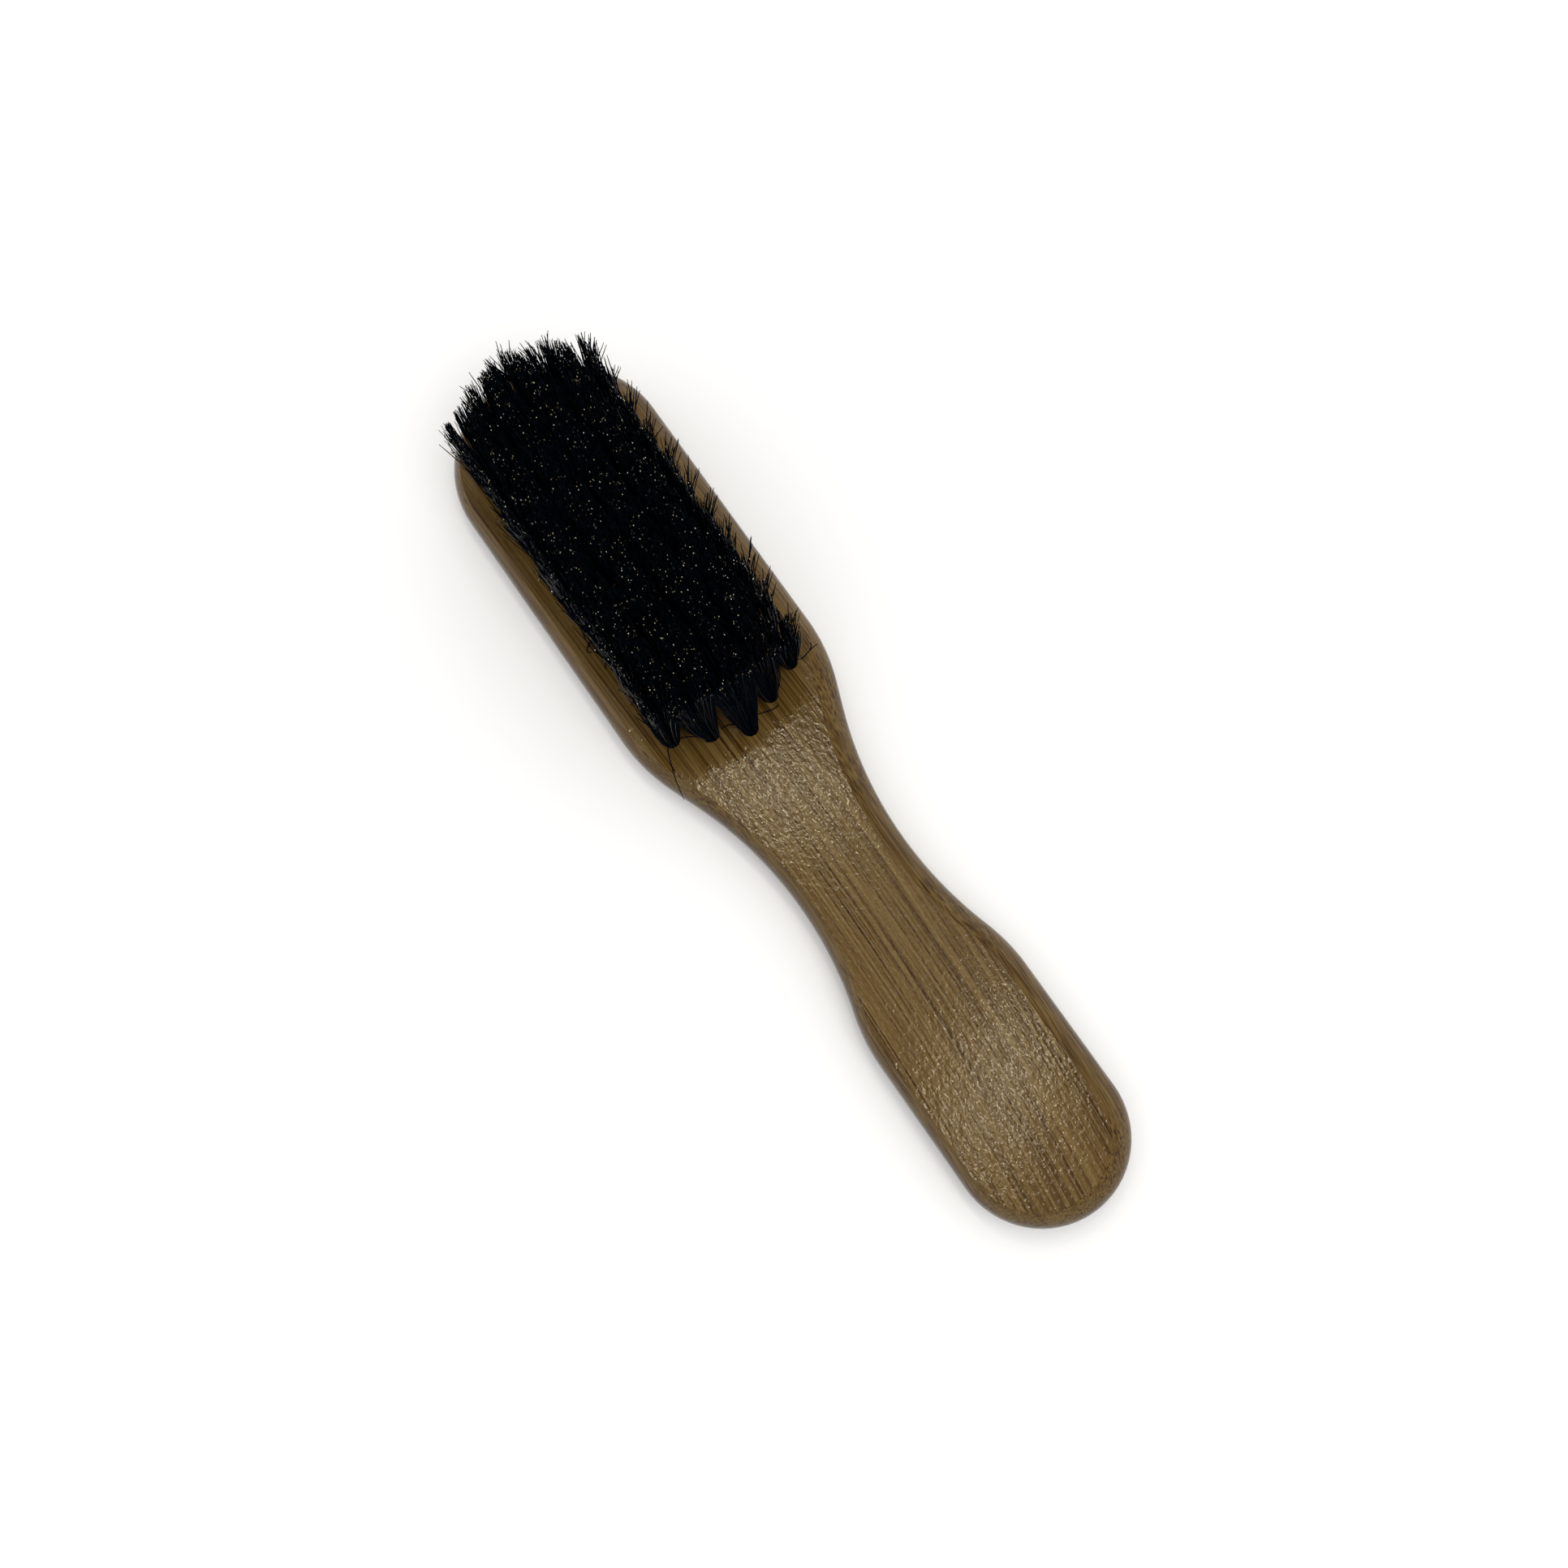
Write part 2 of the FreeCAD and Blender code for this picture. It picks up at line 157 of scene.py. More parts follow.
# Each hair ends in a short segment, and some of these are pale: partly pale split ends, partly a
# painted glint of light on the cut ends.
END_TAPER = 0.7
PALE_SHARE = 0.080
PALE_LENGTH = 0.28 * MM
PALE_RADIUS = 0.078 * MM
PALE_WIDTHS = (0.7, 1.2)
# Single bristles that stick out of the pad: how many, how far the tip is from the foot along and
# across the brush, by how much that varies, and the lowest and highest tip above the face, in mm.
# They grow from the tufts within EDGE_BAND of an outer row, or within HEAD_BAND of the first tuft.
# FOOT_SCATTER and BEND_SCATTER are in mm.
STRAYS = {
    "right": (110, (-2.8, 3.3), (1.6, 1.2), (13.0, 20.0)),
    "left": (64, (-5.0, -2.6), (2.5, 0.9), (4.0, 19.0)),
    "head": (30, (-3.4, 0.0), (1.6, 3.0), (17.0, 21.4)),
}
EDGE_BAND = 1 * MM
HEAD_BAND = 4 * MM
FOOT_SCATTER = 0.8
STRAY_RADIUS = 0.100 * MM
STRAY_THINNING = 0.45
STRAY_STEPS = 10
# Where a stray starts to turn out of the pad, as shares of its reach along, across and up.
STRAY_BEND = np.array([0.35, 0.35, 0.72])
BEND_SCATTER = 0.3
# Shed hairs: height above the face, and the points that each passes through, in mm.
LOOSE_HAIRS = [
    (0.10, [(-14.6, -13.2), (-13.7, -14.3), (-10.9, -15.3), (-8.4, -16.1), (-4.9, -16.8)]),
    (1.20, [(-14.4, -13.0), (-14.2, -12.0), (-13.3, -9.9), (-11.9, -8.2)]),
    (0.80, [(-11.5, -4.8), (-11.2, -3.0), (-9.9, -1.8)]),
    (0.60, [(-10.2, 1.6), (-9.6, 3.5), (-9.3, 4.9), (-9.5, 5.9)]),
    (0.40, [(-14.6, 12.7), (-14.1, 13.8), (-14.6, 16.1), (-14.7, 17.5)]),
    (0.40, [(-14.5, 15.6), (-15.0, 16.3), (-15.7, 16.6)]),
    (0.30, [(-24.6, -13.0), (-24.5, -13.7), (-24.1, -15.2)]),
    (0.30, [(-33.6, -13.6), (-33.0, -14.5), (-32.1, -15.1)]),
    (0.30, [(-38.0, -13.9), (-37.4, -15.2), (-36.6, -15.9), (-35.9, -15.3)]),
    (5.00, [(-82.1, -16.8), (-77.5, -15.7), (-73.2, -15.0), (-70.1, -14.4)]),
    (5.00, [(-52.5, -16.0), (-49.8, -15.2), (-45.7, -14.8), (-44.0, -13.6)]),
]
LOOSE_STEPS = 16
# Shades of hair: name, colour, roughness, specular level. The last PALE_SHADES are for tips: pale
# split ends with a painted glint on the cut ends.
HAIR_SHADES = [
    ("bristle_black", (0.0022, 0.0042, 0.0072), 0.42, 0.00),
    ("bristle_blue_black", (0.0030, 0.0058, 0.0112), 0.30, 0.26),
    ("bristle_brown_black", (0.0050, 0.0054, 0.0064), 0.42, 0.00),
    # The three tip shades below are partly pale split ends, partly a painted glint on the cut ends.
    ("tip_horn_and_glint", (0.09, 0.07, 0.045), 0.55, 0.20),
    ("tip_straw_and_glint", (0.36, 0.31, 0.19), 0.55, 0.20),
    ("tip_white_and_glint", (0.74, 0.68, 0.50), 0.55, 0.20),
]
PALE_SHADES = 3
SHADE_SHARES = (0.60, 0.25, 0.15)
PALE_SHARES = (0.55, 0.27, 0.18)
SHEEN_SPREAD = 0.08


# ---------------------------------------------------------------- materials

def add(tree, kind, inputs=None, **settings):
    """Add a shader node; inputs are values or other nodes' outputs, by socket name or number."""
    node = tree.nodes.new(kind)
    for name, value in settings.items():
        setattr(node, name, value)
    for socket, value in (inputs or {}).items():
        if isinstance(value, bpy.types.NodeSocket):
            tree.links.new(value, node.inputs[socket])
        else:
            node.inputs[socket].default_value = value
    return node


def new_material(name):
    """Start a material: give it, its node tree and its shader."""
    material = bpy.data.materials.new(name)
    material.use_nodes = True
    tree = material.node_tree
    tree.nodes.clear()
    shader = add(tree, "ShaderNodeBsdfPrincipled")
    output = add(tree, "ShaderNodeOutputMaterial")
    tree.links.new(shader.outputs["BSDF"], output.inputs["Surface"])
    return material, tree, shader


def ramp(tree, value, stops):
    """Turn a value into a colour; stops are (position, colour or grey)."""
    node = add(tree, "ShaderNodeValToRGB", {"Fac": value})
    elements = node.color_ramp.elements
    while len(elements) < len(stops):
        elements.new(0.5)
    for element, (position, colour) in zip(elements, stops):
        element.position = position
        grey = isinstance(colour, (int, float))
        element.color = (colour, colour, colour, 1.0) if grey else (*colour, 1.0)
    return node.outputs["Color"]


def maths(tree, operation, *values):
    """Work out one sum; each value is a number or another node's output."""
    node = add(tree, "ShaderNodeMath", dict(enumerate(values)), operation=operation)
    return node.outputs["Value"]


def mix(tree, kind, amount, first, second):
    """Mix two colours; the amount and either colour can be a value or another node's output."""
    node = add(tree, "ShaderNodeMix", data_type="RGBA", blend_type=kind)
    sockets = (node.inputs["Factor"], node.inputs[6], node.inputs[7])
    for socket, value in zip(sockets, (amount, first, second)):
        if isinstance(value, bpy.types.NodeSocket):
            tree.links.new(value, socket)
        elif socket.type == "RGBA":
            socket.default_value = (*value, 1.0)
        else:
            socket.default_value = value
    return node.outputs[2]


def object_place(tree):
    """Give the place on the piece, in millimetres."""
    place = add(tree, "ShaderNodeTexCoord").outputs["Object"]
    scaled = add(tree, "ShaderNodeVectorMath", {0: place, 1: (1 / MM, 1 / MM, 1 / MM)},
                 operation="MULTIPLY")
    return scaled.outputs["Vector"]


def height_of(tree, vector):
    """Give the Z part of a vector."""
    return add(tree, "ShaderNodeSeparateXYZ", {"Vector": vector}).outputs["Z"]


def along_grain(tree):
    """Give the place along, across and under the fibres, which bow slightly to the side."""
    axes = add(tree, "ShaderNodeSeparateXYZ", {"Vector": object_place(tree)}).outputs
    past = maths(tree, "MAXIMUM", maths(tree, "SUBTRACT", axes["X"], BOW_START), 0.0)
    bow = maths(tree, "MULTIPLY", maths(tree, "MULTIPLY", past, past), BOW)
    straight = maths(tree, "MULTIPLY_ADD", axes["X"], -GRAIN_SLOPE, axes["Y"])
    across = maths(tree, "ADD", straight, bow)
    fibres = add(tree, "ShaderNodeCombineXYZ", {"X": axes["X"], "Y": across, "Z": axes["Z"]})
    return fibres.outputs["Vector"]


def stretch(tree, place, pattern):
    """Scale a place in mm to a pattern: repeats per mm along and across the brush, and a shift."""
    along, across, shift = pattern
    scaled = add(tree, "ShaderNodeVectorMath", {
        0: place, 1: (along, across, across), 2: (shift, shift, shift)}, operation="MULTIPLY_ADD")
    return scaled.outputs["Vector"]


def noise(tree, place, detail=2.0, roughness=0.5):
    """Give soft noise about 0.5."""
    cloud = add(tree, "ShaderNodeTexNoise", {
        "Vector": place, "Scale": 1.0, "Detail": detail, "Roughness": roughness})
    return cloud.outputs["Fac"]


def bundles(tree, place, full, edge):
    """Mark spindles of uneven strength, scattered through the wood: up to 1 on their axes, or 0."""
    cells = add(tree, "ShaderNodeTexVoronoi", {"Vector": place, "Scale": 1.0})
    spindle = ramp(tree, cells.outputs["Distance"], [(full, 1.0), (edge, 0.0)])
    strength = ramp(tree, cells.outputs["Color"], [(0.15, 1.0 - BUNDLE_SPREAD), (0.85, 1.0)])
    return mix(tree, "MULTIPLY", 1.0, spindle, strength)


def bamboo_colour(tree, fibres, streaks):
    """Colour the wood: soft bands, streaks, dark fibre bundles cut lengthwise, and painted shade on
    the steep sides.
    """
    bands = noise(tree, stretch(tree, fibres, BANDS), detail=1.0)
    tone = maths(tree, "MULTIPLY_ADD", streaks, STREAK_SHARE,
                 maths(tree, "MULTIPLY", bands, 1.0 - STREAK_SHARE))
    colour = ramp(tree, tone, [(0.38, BAMBOO_DARK), (0.50, BAMBOO_MID), (0.60, BAMBOO_LIGHT)])
    crowding = ramp(tree, noise(tree, stretch(tree, fibres, CROWDING), detail=1.0),
                    [(0.40, 0.60), (0.58, 1.0)])
    for pattern, full, edge, depth in BUNDLES:
        mark = bundles(tree, stretch(tree, fibres, pattern), full, edge)
        crowded = mix(tree, "MULTIPLY", 1.0, mark, crowding)
        amount = mix(tree, "MULTIPLY", 1.0, crowded, (depth, depth, depth))
        colour = mix(tree, "MULTIPLY", amount, colour, BUNDLE_TINT)
    # Painted shade: the steep sides are darkened by how upright the surface is.
    facing = add(tree, "ShaderNodeTexCoord").outputs["Normal"]
    upright = maths(tree, "ABSOLUTE", height_of(tree, facing))
    shade = ramp(tree, upright, [(0.15, PAINTED_SIDE_SHADE), (0.50, 1.0)])
    return mix(tree, "MULTIPLY", 1.0, colour, shade)


def lay_lacquer(tree, shader, streaks):
    """Coat the wood in clear lacquer: fine ripples over a trace of the grain, and uneven gloss."""
    place = object_place(tree)
    ripple = noise(tree, stretch(tree, place, RIPPLE), detail=1.0)
    gloss = noise(tree, stretch(tree, place, GLOSS), detail=1.0)
    tree.links.new(ramp(tree, gloss, [(0.42, LACQUER_GLOSSY), (0.58, LACQUER_DULL)]),
                   shader.inputs["Roughness"])
    relief = maths(tree, "MULTIPLY_ADD", streaks, GRAIN_RELIEF, ripple)
    bump = add(tree, "ShaderNodeBump", {
        "Height": relief, "Strength": 1.0, "Distance": LACQUER_RELIEF})
    tree.links.new(bump.outputs["Normal"], shader.inputs["Normal"])
    shader.inputs["Specular IOR Level"].default_value = LACQUER_SPECULAR


def bamboo_material():
    """Laminated bamboo under satin lacquer."""
    material, tree, shader = new_material("bamboo_lacquered")
    fibres = along_grain(tree)
    streaks = noise(tree, stretch(tree, fibres, STREAKS), detail=4.0, roughness=0.6)
    tree.links.new(bamboo_colour(tree, fibres, streaks), shader.inputs["Base Color"])
    lay_lacquer(tree, shader, streaks)
    return material


def hair_material(name, colour, roughness, specular):
    """One shade of bristle; its sheen changes along each hair."""
    material, tree, shader = new_material(name)
    shader.inputs["Base Color"].default_value = (*colour, 1.0)
    shader.inputs["Specular IOR Level"].default_value = specular
    scales = noise(tree, object_place(tree))
    sheen = ramp(tree, scales, [(0.3, roughness - SHEEN_SPREAD), (0.7, roughness + SHEEN_SPREAD)])
    tree.links.new(sheen, shader.inputs["Roughness"])
    return material


def wire_material():
    """Drawn flat steel wire, with fine lines along it."""
    material, tree, shader = new_material("anchor_steel")
    lines = noise(tree, stretch(tree, object_place(tree), WIRE_LINES))
    tree.links.new(ramp(tree, lines, [(0.3, STEEL_DARK), (0.7, STEEL_LIGHT)]),
                   shader.inputs["Base Color"])
    tree.links.new(ramp(tree, lines, [(0.3, 0.28), (0.7, 0.42)]), shader.inputs["Roughness"])
    shader.inputs["Metallic"].default_value = 1.0
    return material


# ---------------------------------------------------------------- hairs

def rings_mesh(name, paths, radii, shades, materials):
    """Build tubes along many paths at once.

    paths is (hairs, points, 3), radii (hairs, points), and shades (hairs, points - 1) numbers the
    material of each segment. Each tube is closed by a point at both ends.
    """
    hairs, points, _ = paths.shape
    tangent = np.gradient(paths, axis=1)
    tangent /= np.linalg.norm(tangent, axis=2, keepdims=True)
    reference = np.array([1.0, 0.0, 0.0])
    side = reference - (tangent @ reference)[..., None] * tangent
    side /= np.linalg.norm(side, axis=2, keepdims=True)
    other = np.cross(tangent, side)
    turn = np.arange(HAIR_SIDES) * 2 * math.pi / HAIR_SIDES
    ring = np.cos(turn)[:, None] * side[:, :, None, :]
    ring = ring + np.sin(turn)[:, None] * other[:, :, None, :]
    body = paths[:, :, None, :] + ring * radii[:, :, None, None]
    first = paths[:, 0] - tangent[:, 0] * radii[:, 0, None]
    last = paths[:, -1] + tangent[:, -1] * radii[:, -1, None]
    corners = np.concatenate([body.reshape(hairs, -1, 3), first[:, None], last[:, None]], axis=1)

    per_hair = points * HAIR_SIDES + 2
    quads, quad_slot = [], []
    for step in range(points - 1):
        for k in range(HAIR_SIDES):
            near = step * HAIR_SIDES
            far = near + HAIR_SIDES
            beside = (k + 1) % HAIR_SIDES
            quads.append((near + k, near + beside, far + beside, far + k))
            quad_slot.append(step)
    end = (points - 1) * HAIR_SIDES
    first_point = points * HAIR_SIDES
    last_point = first_point + 1
    sides = [(k, (k + 1) % HAIR_SIDES) for k in range(HAIR_SIDES)]
    caps = [(beside, k, first_point) for k, beside in sides]
    caps += [(end + k, end + beside, last_point) for k, beside in sides]
    cap_slot = [0] * HAIR_SIDES + [points - 2] * HAIR_SIDES

    shift = (np.arange(hairs) * per_hair)[:, None, None]
    quads = (np.array(quads)[None] + shift).reshape(-1, 4)
    caps = (np.array(caps)[None] + shift).reshape(-1, 3)
    slots = np.concatenate([shades[:, quad_slot].reshape(-1), shades[:, cap_slot].reshape(-1)])

    mesh = bpy.data.meshes.new(name)
    loops = np.concatenate([quads.reshape(-1), caps.reshape(-1)]).astype(np.int32)
    sizes = np.concatenate([np.full(len(quads), 4), np.full(len(caps), 3)])
    starts = np.concatenate([[0], np.cumsum(sizes)[:-1]]).astype(np.int32)
    mesh.vertices.add(hairs * per_hair)
    mesh.vertices.foreach_set("co", corners.reshape(-1))
    mesh.loops.add(len(loops))
    mesh.loops.foreach_set("vertex_index", loops)
    mesh.polygons.add(len(sizes))
    mesh.polygons.foreach_set("loop_start", starts)
    for material in materials:
        mesh.materials.append(material)
    mesh.polygons.foreach_set("material_index", slots.astype(np.int32))
    mesh.polygons.foreach_set("use_smooth", np.ones(len(sizes), dtype=bool))
    mesh.update(calc_edges=True)
    mesh.validate()
    piece = bpy.data.objects.new(name, mesh)
    bpy.context.scene.collection.objects.link(piece)
    return piece


def disc_points(rng, count, radius):
    """Scatter points evenly over a disc."""
    order = np.arange(count) + 0.5
    far = radius * np.sqrt(order / count)
    angle = order * GOLDEN_ANGLE + rng.uniform(0, 2 * math.pi)
    points = np.stack([far * np.cos(angle), far * np.sin(angle)], axis=1)
    return points + rng.normal(0, 0.05 * radius, points.shape)


def keep_in_pad(rng, tips, centre):
    """Hold the tips, given from their tuft's centre, back to the pad's edges."""
    along, across = (tips + centre).T
    low, high = PAD_EDGES
    give = rng.uniform(0.0, TIP_GIVE, len(tips)) * rng.uniform(*TUFT_GIVE)
    across = np.where(across > high, high + (across - high) * give, across)
    across = np.where(across < low, low + (across - low) * give, across)
    along = np.where(along > PAD_END, PAD_END + (along - PAD_END) * give * END_GIVE, along)
    head = PAD_HEAD + (across - PAD_HEAD_MIDDLE) ** 2 / (2 * PAD_HEAD_RADIUS)
    along = np.where(along < head, head + (along - head) * give * HEAD_GIVE, along)
    return np.stack([along, across], axis=1) - centre


def tuft_legs(rng, feet, centre, lean, face, top):
    """Give each hair end its path from the anchor up to its tip.

    The feet are inside the stem's circle. Feet and paths are given from the tuft's centre.
    """
    count = len(feet)
    off_centre = np.linalg.norm(feet, axis=1) / STEM_RADIUS
    opening = CENTRE_OPENING + (1 - CENTRE_OPENING) * off_centre[:, None]
    tips = feet / STEM_RADIUS * OPENING * opening
    clumps = disc_points(rng, CLUMPS, CLUMP_REACH) * OPENING
    nearest = np.argmin(np.linalg.norm(tips[:, None] - clumps[None], axis=2), axis=1)
    pull = rng.uniform(*CLUMP_PULL, (count, 1))
    tips = tips * (1 - pull) + clumps[nearest] * pull
    tips = keep_in_pad(rng, tips + rng.normal(0, TIP_SCATTER, tips.shape) + lean, centre)
    drop = RIM_DROP * off_centre ** 2 + np.abs(rng.normal(0, TIP_DROP, count))
    short = rng.random(count) < SHORT_SHARE
    drop = drop + short * rng.uniform(*SHORT_BY, count)
    rise = rng.normal(0, CLUMP_RISE, len(clumps))[nearest]
    heights = top - face - drop + rise
    bow = rng.normal(0, HAIR_BOW, (count, 2))
    steps = np.linspace(0, 1, LEG_STEPS)[None, :, None]
    flat = feet[:, None] + (tips - feet)[:, None] * steps
    flat = flat + bow[:, None] * np.sin(math.pi * steps)
    up = face + heights[:, None, None] * steps
    above = np.concatenate([flat, up], axis=2)
    below = np.concatenate([feet, np.full((count, 1), ANCHOR_TOP)], axis=1)[:, None]
    return np.concatenate([below, above], axis=1)


def make_tuft(rng, centre, face, top):
    """Lay the hairs of one tuft.

    Each goes down one side of the anchor, under it, and up the other.
    """
    feet = disc_points(rng, 2 * HAIRS_PER_TUFT, STEM_RADIUS - ROOT_RADIUS)
    feet[:, 1] += np.sign(feet[:, 1]) * ANCHOR_HALF * (1 - np.abs(feet[:, 1]) / STEM_RADIUS)
    left = feet[feet[:, 1] < 0]
    right = feet[feet[:, 1] >= 0]
    hairs = min(len(left), len(right))
    left = left[np.argsort(left[:, 0])][:hairs]
    right = right[np.argsort(right[:, 0])][:hairs]
    lean = PAD_LEAN + rng.normal(0, TUFT_LEAN, 2)
    down = tuft_legs(rng, left, centre, lean, face, top)[:, ::-1]
    rise = tuft_legs(rng, right, centre, lean, face, top)
    spread = np.abs(right[:, 1]) / STEM_RADIUS
    depth = FOLD_ROOF - (FOLD_ROOF - FOLD_FLOOR) * spread
    bottom = np.stack([(left[:, 0] + right[:, 0]) / 2, np.zeros(hairs), depth], axis=1)
    corners = [np.stack([foot[:, 0], foot[:, 1] * FOLD_SQUEEZE, depth + FOLD_CORNER], axis=1)
               for foot in (left, right)]
    fold = np.stack([corners[0], bottom, corners[1]], axis=1)
    paths = np.concatenate([down, fold, rise], axis=1)
    paths[:, :, 0] += centre[0]
    paths[:, :, 1] += centre[1]
    return paths


def hair_radii(rng, paths):
    """Thin each hair from its fold towards both tips."""
    hairs, points, _ = paths.shape
    middle = (points - 1) / 2
    away = np.abs(np.arange(points) - middle) / middle
    taper = ROOT_RADIUS + (TIP_RADIUS - ROOT_RADIUS) * away ** 2
    return taper[None] * rng.uniform(*HAIR_WIDTHS, (hairs, 1))


def finish_ends(rng, paths, radii):
    """Add a short last segment at both ends of each hair, and pick the shades of hairs and tips;
    the pale tips are partly split ends, partly a painted glint.
    """
    hairs = len(paths)
    blacks = len(HAIR_SHADES) - PALE_SHADES
    shades = np.repeat(rng.choice(blacks, (hairs, 1), p=SHADE_SHARES), paths.shape[1] + 1, axis=1)
    ends = []
    for end, inner in ((0, 1), (-1, -2)):
        away = paths[:, end] - paths[:, inner]
        away = away / np.linalg.norm(away, axis=1, keepdims=True)
        # Pale tips: partly pale split ends, partly a painted glint on the cut ends.
        pale = rng.random(hairs) < PALE_SHARE
        kind = blacks + rng.choice(PALE_SHADES, hairs, p=PALE_SHARES)
        shades[:, end] = np.where(pale, kind, shades[:, end])
        pale_width = PALE_RADIUS * rng.uniform(*PALE_WIDTHS, hairs)
        width = np.where(pale, pale_width, radii[:, end] * END_TAPER)
        ends.append(((paths[:, end] + away * PALE_LENGTH)[:, None], width[:, None]))
    (first, first_width), (last, last_width) = ends
    paths = np.concatenate([first, paths, last], axis=1)
    radii = np.concatenate([first_width, radii, last_width], axis=1)
    return paths, radii, shades


def tuft_centres(ranks):
    """Read where the tufts of each rank stand from the boxes of the CAD nodes.

    The narrowest rank has one tuft. The next wider ones have two, which gives the gap between them.
    """
    boxes = {rank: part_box(rank) for rank in ranks}
    widths = [high.y - low.y for low, high in boxes.values()]
    single = min(widths)
    gap = min(width for width in widths if width > 1.5 * single) - single
    centres = {}
    for rank, (low, high) in boxes.items():
        count = round((high.y - low.y - single) / gap) + 1
        first = (low.y + high.y) / 2 - gap * (count - 1) / 2
        centres[rank] = [((low.x + high.x) / 2, first + gap * k) for k in range(count)]
    return centres


def smooth(points, steps):
    """Bend a hair smoothly through a few points."""
    points = np.array(points, dtype=float)
    before = 2 * points[0] - points[1]
    after = 2 * points[-1] - points[-2]
    chain = np.concatenate([[before], points, [after]])
    spots = np.linspace(0, len(points) - 1, steps)
    spans = np.minimum(spots.astype(int), len(points) - 2)
    at = (spots - spans)[:, None]
    a, b, c, d = (chain[spans + k] for k in range(4))
    straight = 2 * b + (c - a) * at
    bend = (2 * a - 5 * b + 4 * c - d) * at ** 2
    twist = (3 * b - a - 3 * c + d) * at ** 3
    return 0.5 * (straight + bend + twist)


def make_hairs(name, paths, radius, materials):
    """Make one piece of single hairs, each thinner towards its ends."""
    points = paths.shape[1]
    away = np.abs(np.linspace(-1, 1, points))
    radii = np.repeat((radius * (1 - STRAY_THINNING * away ** 3))[None], len(paths), axis=0)
    shades = np.zeros((len(paths), points - 1), dtype=int)
    piece = rings_mesh(name, paths, radii, shades, materials)
    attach(piece, "root")


def make_strays(centres, materials):
    """Let single bristles stick out of the pad along both long edges and at the head end."""
    rng = np.random.default_rng(SEED + 1)
    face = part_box("handle")[1].z
    low = min(y for _, y in centres) + EDGE_BAND
    high = max(y for _, y in centres) - EDGE_BAND
    head = min(x for x, _ in centres) + HEAD_BAND
    tufts = {
        "right": [(x, y) for x, y in centres if y > high],
        "left": [(x, y) for x, y in centres if y < low],
        "head": [(x, y) for x, y in centres if x < head],
    }
    paths = []
    for side, (count, reach, spread, heights) in STRAYS.items():
        for _ in range(count):
            x, y = tufts[side][rng.integers(len(tufts[side]))]
            foot = np.array([x, y, face])
            foot[:2] += rng.uniform(-FOOT_SCATTER, FOOT_SCATTER, 2) * MM
            along, across = (np.array(reach) + rng.uniform(-1, 1, 2) * spread) * MM
            tip = np.array([x + along, y + across, face + rng.uniform(*heights) * MM])
            bend = foot + (tip - foot) * STRAY_BEND + rng.normal(0, BEND_SCATTER, 3) * MM
            paths.append(smooth([foot, bend, tip], STRAY_STEPS))
    make_hairs("stray_bristles", np.array(paths), STRAY_RADIUS, materials)


def make_loose_hairs(materials):
    """Lay the few shed hairs and curls that lie on the face, around the foot of the pad."""
    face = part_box("handle")[1].z
    paths = []
    for height, points in LOOSE_HAIRS:
        spots = [(x * MM, y * MM, face + height * MM) for x, y in points]
        paths.append(smooth(spots, LOOSE_STEPS))
    make_hairs("loose_hairs", np.array(paths), STRAY_RADIUS, materials)


def make_bristles(frame, materials):
    """Stand one piece of bristles for each rank of tufts, then the strays and the shed hairs."""
    ranks = sorted(name for name in frame["nodes"] if name.startswith("tufts_rank_"))
    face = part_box("handle")[1].z
    top = max(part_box(rank)[1].z for rank in ranks)
    centres = tuft_centres(ranks)
    rng = np.random.default_rng(SEED)
    for rank in ranks:
        tufts = [make_tuft(rng, centre, face, top) for centre in centres[rank]]
        paths = np.concatenate(tufts)
        radii = hair_radii(rng, paths)
        paths, radii, shades = finish_ends(rng, paths, radii)
        piece = rings_mesh(rank.replace("tufts", "bristles"), paths, radii, shades, materials)
        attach(piece, "root")
        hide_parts(rank)
    make_strays([centre for rank in ranks for centre in centres[rank]], materials)
    make_loose_hairs(materials)


# ---------------------------------------------------------------- stage

def make_camera():
    """Look down on the brush, from a little beyond the tail end and to the left of it."""
    back = Vector((math.tan(TILT_TO_TAIL), math.tan(TILT_TO_SIDE), 1.0)).normalized()
    along = (Vector((1, 0, 0)) - back * back.x).normalized()
    across = back.cross(along)
    right = along * math.cos(AXIS_TURN) + across * math.sin(AXIS_TURN)
    up = across * math.cos(AXIS_TURN) - along * math.sin(AXIS_TURN)
    data = bpy.data.cameras.new("camera")
    data.lens = LENS_MM
    data.sensor_width = SENSOR_MM
    data.clip_start = 0.01
    camera = bpy.data.objects.new("camera", data)
    bpy.context.scene.collection.objects.link(camera)
    place = Matrix((right, up, back)).transposed().to_4x4()
    place.translation = CAMERA_TARGET + back * CAMERA_DISTANCE
    camera.matrix_world = place
    bpy.context.scene.camera = camera


def make_light(name, place, size, long_axis, power, colour):
    """Hang a soft box that faces the brush, its long side along the given direction on plan."""
    data = bpy.data.lights.new(name, "AREA")
    data.shape = "RECTANGLE"
    data.size, data.size_y = size
    data.energy = power
    data.color = colour
    lamp = bpy.data.objects.new(name, data)
    bpy.context.scene.collection.objects.link(lamp)
    back = Vector(place).normalized()
    across = back.cross(Vector((*long_axis, 0))).normalized()
    along = across.cross(back)
    stand = Matrix((along, across, back)).transposed().to_4x4()
    stand.translation = place
    lamp.matrix_world = stand


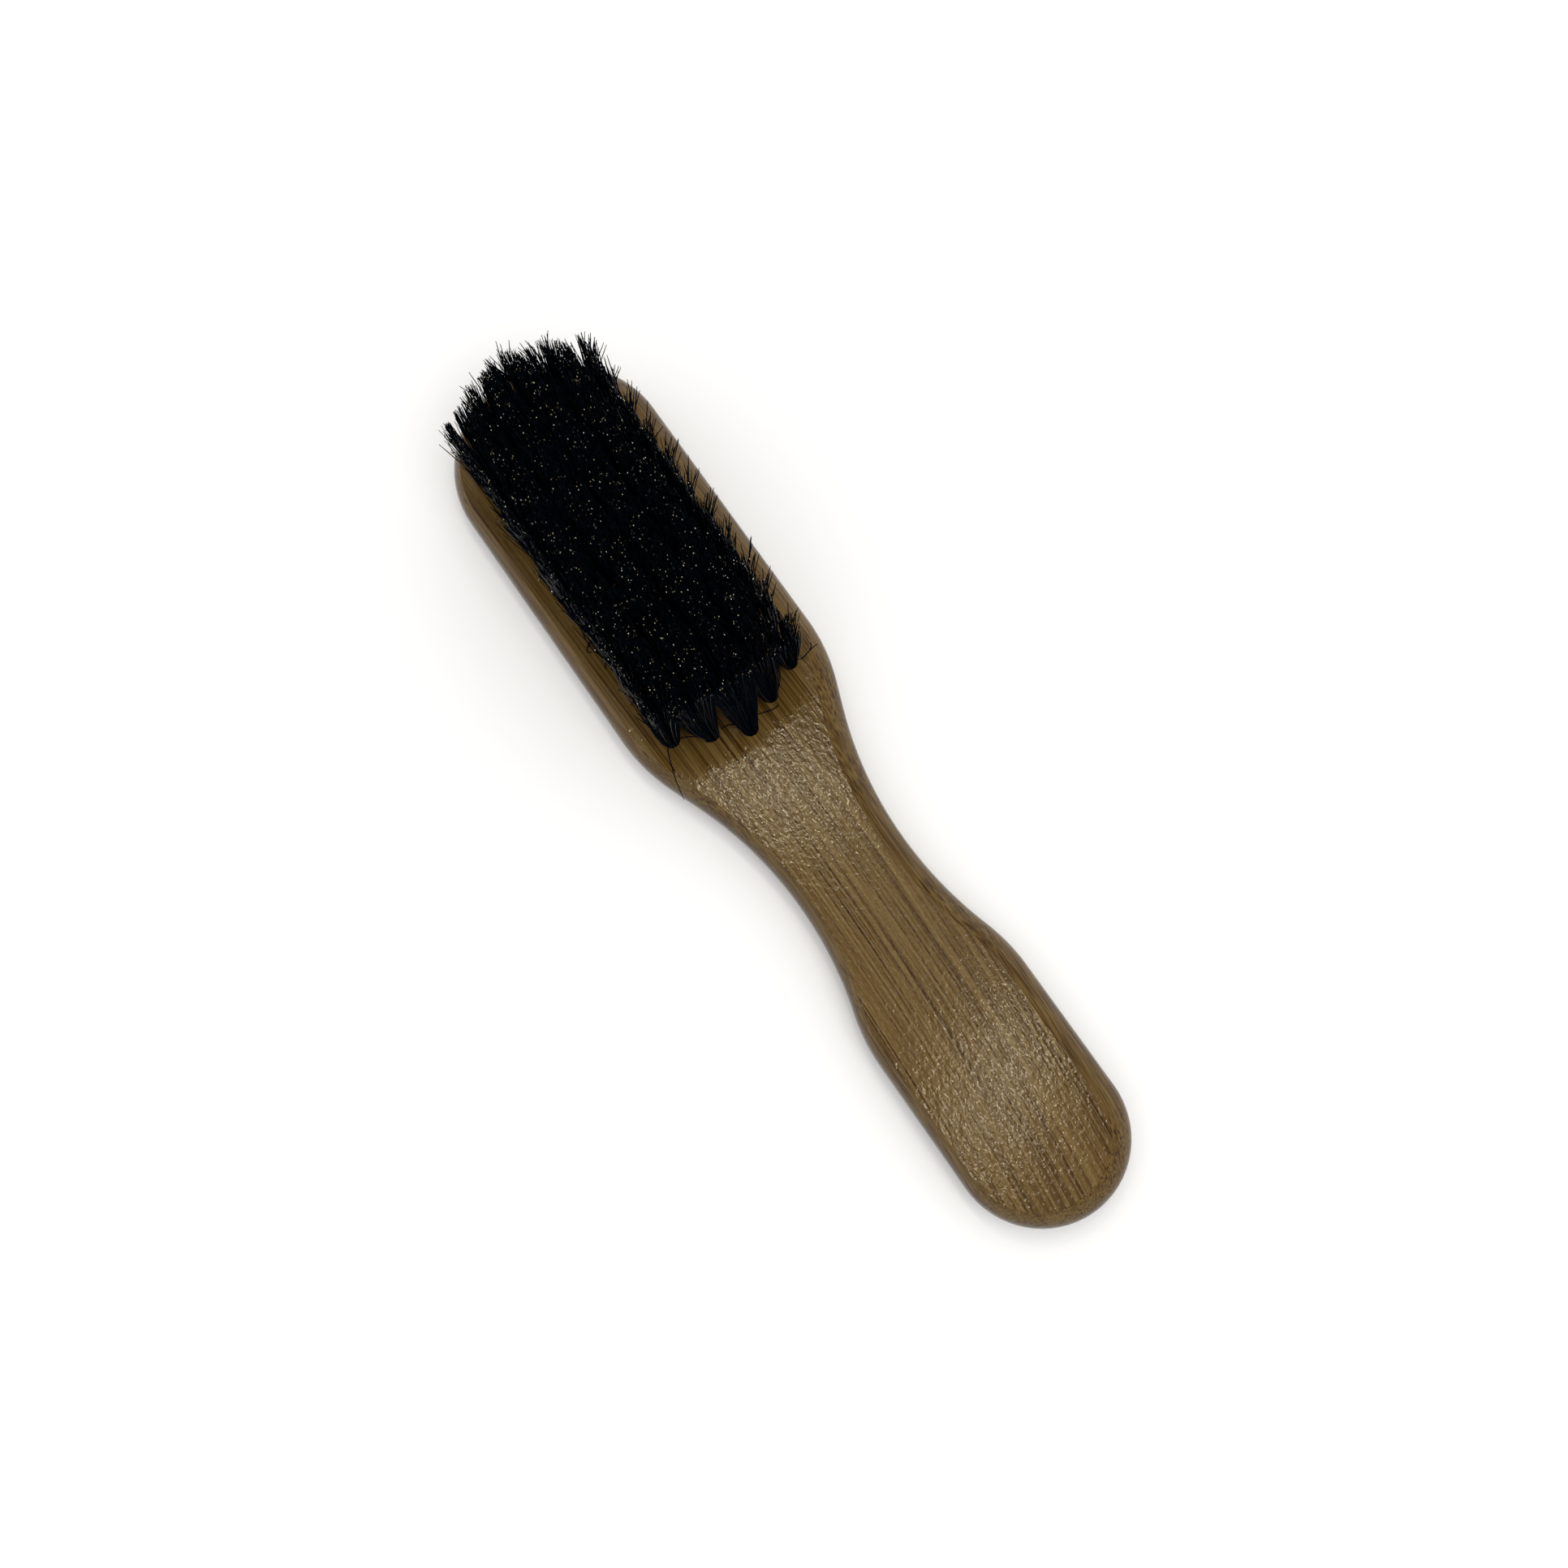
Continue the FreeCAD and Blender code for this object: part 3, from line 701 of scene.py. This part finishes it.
def make_floor():
    """Lay a plain pale floor just under the brush."""
    material, _, shader = new_material("floor_white")
    shader.inputs["Base Color"].default_value = (*FLOOR_WHITE, 1.0)
    shader.inputs["Roughness"].default_value = 0.9
    shader.inputs["Specular IOR Level"].default_value = 0.0
    corners = [(x * FLOOR_REACH, y * FLOOR_REACH, FLOOR_DEPTH)
               for x, y in ((-1, -1), (1, -1), (1, 1), (-1, 1))]
    mesh = bpy.data.meshes.new("floor")
    mesh.from_pydata(corners, [], [(0, 1, 2, 3)])
    mesh.materials.append(material)
    floor = bpy.data.objects.new("floor", mesh)
    bpy.context.scene.collection.objects.link(floor)


def make_stage():
    """Lay the floor, and light it from a white sky and the lamps."""
    make_floor()
    world = bpy.data.worlds.new("studio")
    bpy.context.scene.world = world
    world.use_nodes = True
    sky = world.node_tree
    background = sky.nodes["Background"]
    background.inputs["Color"].default_value = (*WHITE, 1.0)
    toward = add(sky, "ShaderNodeTexCoord").outputs["Generated"]
    strength = ramp(sky, height_of(sky, toward), SKY)
    sky.links.new(strength, background.inputs["Strength"])
    for light in LIGHTS:
        make_light(*light)
    bpy.context.scene.view_settings.view_transform = "Standard"
    bpy.context.scene.view_settings.look = "None"


def dress_nodes(frame):
    """Give the CAD nodes that stay in view their materials."""
    bamboo = bamboo_material()
    steel = wire_material()
    for name, node in frame["nodes"].items():
        if name == "handle":
            finish = bamboo
        elif name.startswith("anchors_rank_"):
            finish = steel
        else:
            continue
        for slot in node.material_slots:
            slot.material = finish


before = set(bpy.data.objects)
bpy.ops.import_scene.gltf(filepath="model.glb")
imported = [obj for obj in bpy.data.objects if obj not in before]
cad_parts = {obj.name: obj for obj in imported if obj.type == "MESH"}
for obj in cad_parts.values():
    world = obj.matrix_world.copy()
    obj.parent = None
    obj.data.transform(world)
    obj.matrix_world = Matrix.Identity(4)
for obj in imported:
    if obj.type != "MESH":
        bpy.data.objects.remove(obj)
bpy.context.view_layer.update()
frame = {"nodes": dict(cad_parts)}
make_camera()
make_stage()
dress_nodes(frame)
make_bristles(frame, [hair_material(*shade) for shade in HAIR_SHADES])
